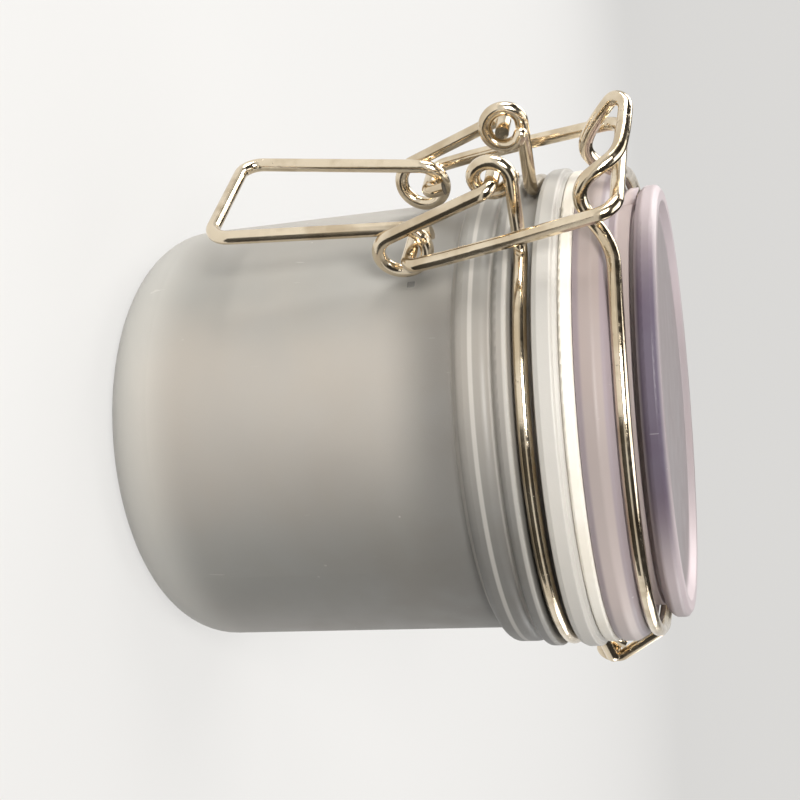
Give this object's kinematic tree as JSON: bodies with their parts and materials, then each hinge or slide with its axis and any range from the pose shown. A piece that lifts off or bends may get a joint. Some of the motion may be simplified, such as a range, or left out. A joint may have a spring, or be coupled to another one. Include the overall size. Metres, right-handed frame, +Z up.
{
  "type": "plastic storage jar",
  "caption": "Empty frosted plastic storage jar with a rubber seal and a wire clip-top closure: hinged lid, finger lever and bail.",
  "frame": {"origin": "centre of the jar's foot, on the surface the jar stands on", "axes": "+Z up along the jar's axis, -Y towards the clasp, +Y towards the lid's hinge"},
  "size_m": [0.079, 0.1067, 0.088],
  "materials": {
    "frosted_plastic": "frosted, translucent",
    "tinted_plastic": "frosted, faintly purple",
    "seal_rubber": "soft matt",
    "steel_wire": "polished"
  },
  "bodies": {
    "base": {"jar": "frosted_plastic", "neck_wire": "steel_wire"},
    "top": {"lid": "tinted_plastic", "lid_wire": "steel_wire", "gasket": "seal_rubber"},
    "clasp_lever": {"lever": "steel_wire"},
    "clasp_link": {"link": "steel_wire"}
  },
  "joints": [
    {"name": "lid_hinge", "type": "hinge", "parent": "base", "child": "top", "pos_m": [0, 0.0495, 0.0717], "axis": [-1, 0, 0], "range_deg": [0, 105]},
    {"name": "lever_pivot", "type": "hinge", "parent": "base", "child": "clasp_lever", "pos_m": [0, -0.0494, 0.0669], "axis": [-1, 0, 0], "range_deg": [0, 90]},
    {"name": "link_pivot", "type": "hinge", "parent": "clasp_lever", "child": "clasp_link", "pos_m": [0, -0.0404, 0.05325], "axis": [-1, 0, 0], "range_deg": [-45, 0]}
  ],
  "couplings": [
    {"joint": "link_pivot", "follows": "lever_pivot", "ratio": -0.48}
  ]
}
